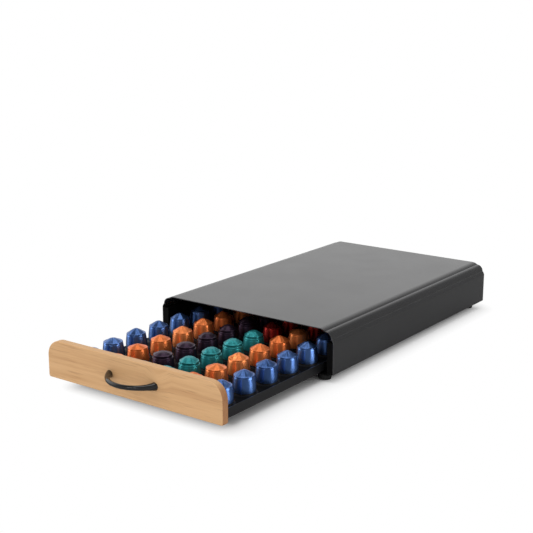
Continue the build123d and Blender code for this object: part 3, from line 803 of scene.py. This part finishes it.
def place_pods(colour, form):
    bm = bmesh.new()
    tone = bm.verts.layers.float.new("tone")
    for column, x in enumerate(columns):
        for row, y in enumerate(rows):
            if colour_of(column, row) != colour:
                continue
            number = number_of(column, row)
            first = len(bm.verts)
            bm.from_mesh(form)
            bm.verts.ensure_lookup_table()
            fresh = bm.verts[first:]
            turn = Matrix.Rotation(golden_turn * number, 3, "Z")
            bmesh.ops.rotate(bm, verts=fresh, cent=(0, 0, 0), matrix=turn)
            dimple(fresh, number)
            flatten(fresh, flatter_cones.get((column, row), 1.0))
            if (column, row) == knocked_pod:
                knock(fresh)
            for vert in fresh:
                vert[tone] = 0.5 + 0.5 * math.sin(number * tone_step)
            across, along = lean_of(column, row)
            tilt = Matrix.Rotation(across, 3, "Y") @ Matrix.Rotation(along, 3, "X")
            bmesh.ops.rotate(bm, verts=fresh, cent=(0, 0, 0), matrix=tilt)
            lift = rim_radius * MM * math.sin(math.hypot(across, along))
            bmesh.ops.translate(bm, verts=fresh, vec=(x, y, well_floor + lift))
    mesh = bpy.data.meshes.new(f"pods_{colour}_detailed")
    bm.to_mesh(mesh)
    bm.free()
    mesh.materials.append(finishes[f"pod_{colour}"])
    mesh.materials.append(finishes["seal_and_painted_shade"])
    piece = bpy.data.objects.new(f"pods_{colour}_detailed", mesh)
    scene.collection.objects.link(piece)
    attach(piece, "drawer")
    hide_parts(f"pods_{colour}")
    return piece


for colour, form in (
    ("blue", plain_form),
    ("orange", plain_form),
    ("red", plain_form),
    ("plum", stepped_form),
    ("teal", stepped_form),
):
    piece = place_pods(colour, form)
    rim_faces = sum(face.material_index for face in piece.data.polygons)
    print(piece.name, len(piece.data.polygons), "faces, on the rims", rim_faces)
bpy.data.meshes.remove(plain_form)
bpy.data.meshes.remove(stepped_form)

# %% [markdown]
# ## Studio floor
# The floor is plain and pale and catches the object's shadow. Reflections see it darker
# than the camera does, so that the lower part of each pod isn't washed out. A backdrop
# could curve up behind the object, but here the floor just fades into plain white, from a
# little inside the footprint, and sooner at the front and the left, where most light falls.

# %% Floor
bm = bmesh.new()
bmesh.ops.create_grid(bm, x_segments=1, y_segments=1, size=20.0)
floor_mesh = bpy.data.meshes.new("floor")
bm.to_mesh(floor_mesh)
bm.free()
glossy_share = 0.8
fade_start = -0.02
fade_length = 0.045
lit_sides = 0.012
floor_material, tree, shader, place = new_finish("studio_floor")
skin_inputs = {"Coordinates": place, "Grain per Metre": 40.0, "Grain Height": 0.0}
patches = use_group(tree, grain_group, skin_inputs).outputs["Patches"]
floor_colour = add_mix(tree, patches, (0.93, 0.93, 0.93, 1.0), (0.94, 0.94, 0.94, 1.0))
path = tree.nodes.new("ShaderNodeLightPath")
dimmed = add_math(tree, "MULTIPLY", path.outputs["Is Glossy Ray"], glossy_share)
floor_colour = add_mix(tree, dimmed, floor_colour, (0.10, 0.10, 0.10, 1.0))
tree.links.new(floor_colour, shader.inputs["Base Color"])
shader.inputs["Roughness"].default_value = 0.9
shader.inputs["Specular IOR Level"].default_value = 0.0
wood_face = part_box("front_panel")[0].y
middle = (lit_sides, (cad_box[1].y + wood_face) / 2 + lit_sides, 0.0)
footprint = (cad_box[1].x - lit_sides, (cad_box[1].y - wood_face) / 2 - lit_sides, 0.0)
beyond = add_vector_math(tree, "SUBTRACT", place, middle)
beyond = add_vector_math(tree, "ABSOLUTE", beyond)
beyond = add_vector_math(tree, "SUBTRACT", beyond, footprint)
beyond = add_vector_math(tree, "MAXIMUM", beyond, (fade_start, fade_start, 0.0))
beyond = add_vector_math(tree, "ADD", beyond, (-fade_start, -fade_start, 0.0))
reach = add_vector_math(tree, "LENGTH", beyond, output="Value")
far = add_range(tree, reach, 0.0, fade_length, 0.0, 1.0)
far = add_math(tree, "MULTIPLY", far, path.outputs["Is Camera Ray"])
glow = add_node(tree, "ShaderNodeEmission", {"Color": (1.0, 1.0, 1.0, 1.0), "Strength": 1.0})
layers = {0: far, 1: shader.outputs["BSDF"], 2: glow.outputs[0]}
blended = add_node(tree, "ShaderNodeMixShader", layers)
surface = next(n for n in tree.nodes if n.type == "OUTPUT_MATERIAL").inputs["Surface"]
tree.links.new(blended.outputs[0], surface)
floor_mesh.materials.append(floor_material)
floor = bpy.data.objects.new("floor", floor_mesh)
scene.collection.objects.link(floor)
print("floor at z = 0")

# %% [markdown]
# ## Room
# The room is a white dome, so a colour renders about as it's written. The dome is full
# white to the camera. In reflections only its part behind the object, to the left, is
# white. The other sides and the ceiling are dim, so that round metal shows dark between
# its highlights.

# %% Room
room_light = 0.70
ceiling_shine = 0.35
side_shine = 0.30
bright_side = (-0.906, 0.423, 0.0)
side_fade = (0.20, 0.75)
ceiling_fade = (0.50, 0.85)
world = bpy.data.worlds.new("white_room")
scene.world = world
world.use_nodes = True
tree = world.node_tree
tree.nodes.clear()
path = tree.nodes.new("ShaderNodeLightPath")
direction = tree.nodes.new("ShaderNodeTexCoord").outputs["Generated"]
height = add_node(tree, "ShaderNodeSeparateXYZ", {0: direction}).outputs["Z"]
behind = add_vector_math(tree, "DOT_PRODUCT", direction, bright_side, "Value")
side = add_range(tree, behind, *side_fade, side_shine, 1.0, "SMOOTHSTEP")
ceiling = add_range(tree, height, *ceiling_fade, 1.0, ceiling_shine)
shine = add_math(tree, "MULTIPLY", side, ceiling)
is_glossy = path.outputs["Is Glossy Ray"]
glossy = add_math(tree, "MULTIPLY", is_glossy, shine)
other = add_math(tree, "MULTIPLY", add_math(tree, "SUBTRACT", 1.0, is_glossy), room_light)
strength = add_math(tree, "ADD", glossy, other)
strength = add_math(tree, "MAXIMUM", strength, path.outputs["Is Camera Ray"])
white = {"Color": (1.0, 1.0, 1.0, 1.0), "Strength": strength}
background = add_node(tree, "ShaderNodeBackground", white)
output = tree.nodes.new("ShaderNodeOutputWorld")
tree.links.new(background.outputs[0], output.inputs["Surface"])
print("room light:", room_light)

# %% [markdown]
# ## Lamps
# A wide soft lamp overhead and a panel on each side light the object, and a top panel and
# a front strip draw the highlights on the handle and the pods. The side panels don't show
# in reflections, because the housing's flat top would mirror them as white patches.

# %% Lamps
def add_panel(name, place, aim, size, watts):
    data = bpy.data.lights.new(name, "AREA")
    data.shape = "RECTANGLE"
    data.size, data.size_y = size
    data.energy = watts
    lamp = bpy.data.objects.new(name, data)
    lamp.location = place
    lamp.rotation_euler = (Vector(aim) - Vector(place)).to_track_quat("-Z", "Y").to_euler()
    lamp.visible_camera = False
    scene.collection.objects.link(lamp)
    return lamp


overhead = bpy.data.lights.new("overhead", "SUN")
overhead.energy = 0.9
overhead.angle = math.radians(70)
lamp = bpy.data.objects.new("overhead", overhead)
lamp.rotation_euler = (math.radians(18), math.radians(-22), 0.0)
lamp.visible_glossy = False
scene.collection.objects.link(lamp)
drawer_middle = (0.0, -0.15, 0.05)
right_panel = add_panel("right_panel", (1.85, 0.05, 0.45), (0.1, -0.15, 0.05), (0.55, 0.85), 4.0)
left_panel = add_panel("left_panel", (-1.4, -1.2, 0.5), drawer_middle, (0.45, 0.9), 4.5)
for panel in (right_panel, left_panel):
    panel.visible_glossy = False
add_panel("top_panel", (0.15, -0.42, 1.6), (0.0, -0.15, 0.03), (0.9, 0.5), 2.9)
add_panel("front_strip", (0.35, -2.6, 1.45), (0.0, -0.1, 0.03), (1.2, 0.14), 4.0)

# %% [markdown]
# ## Cards for the pods
# In a studio, white cards stand beside shiny metal, so that it shows a bright streak.
# These three do that. Light linking lets them reach the pods alone, for the same reason
# as above. They give no soft light, so that they change only what the metal mirrors.

# %% Cards
pod_pieces = bpy.data.collections.new("lit_by_cards")
for piece in scene.objects:
    if piece.name.endswith("_detailed"):
        pod_pieces.objects.link(piece)
right_card = add_panel("right_card", (0.86, -0.05, 0.27), (0.1, -0.12, 0.1), (0.42, 0.54), 4.0)
left_card = add_panel("left_card", (-1.3, -0.75, 0.45), drawer_middle, (0.7, 0.9), 6.0)
upper_card = add_panel("upper_card", (-0.33, 0.255, 1.39), drawer_middle, (0.75, 0.60), 2.6)
for card in (right_card, left_card, upper_card):
    card.visible_diffuse = False
    card.light_linking.receiver_collection = pod_pieces

# %% [markdown]
# ## Finish
# The box round the CAD model is printed at the end. The visual model must stay inside
# the CAD model's box.

# %% Print the CAD box
def plain_box(box):
    return [[round(float(c), 6) for c in corner] for corner in box]


print("CAD box:", plain_box(cad_box))
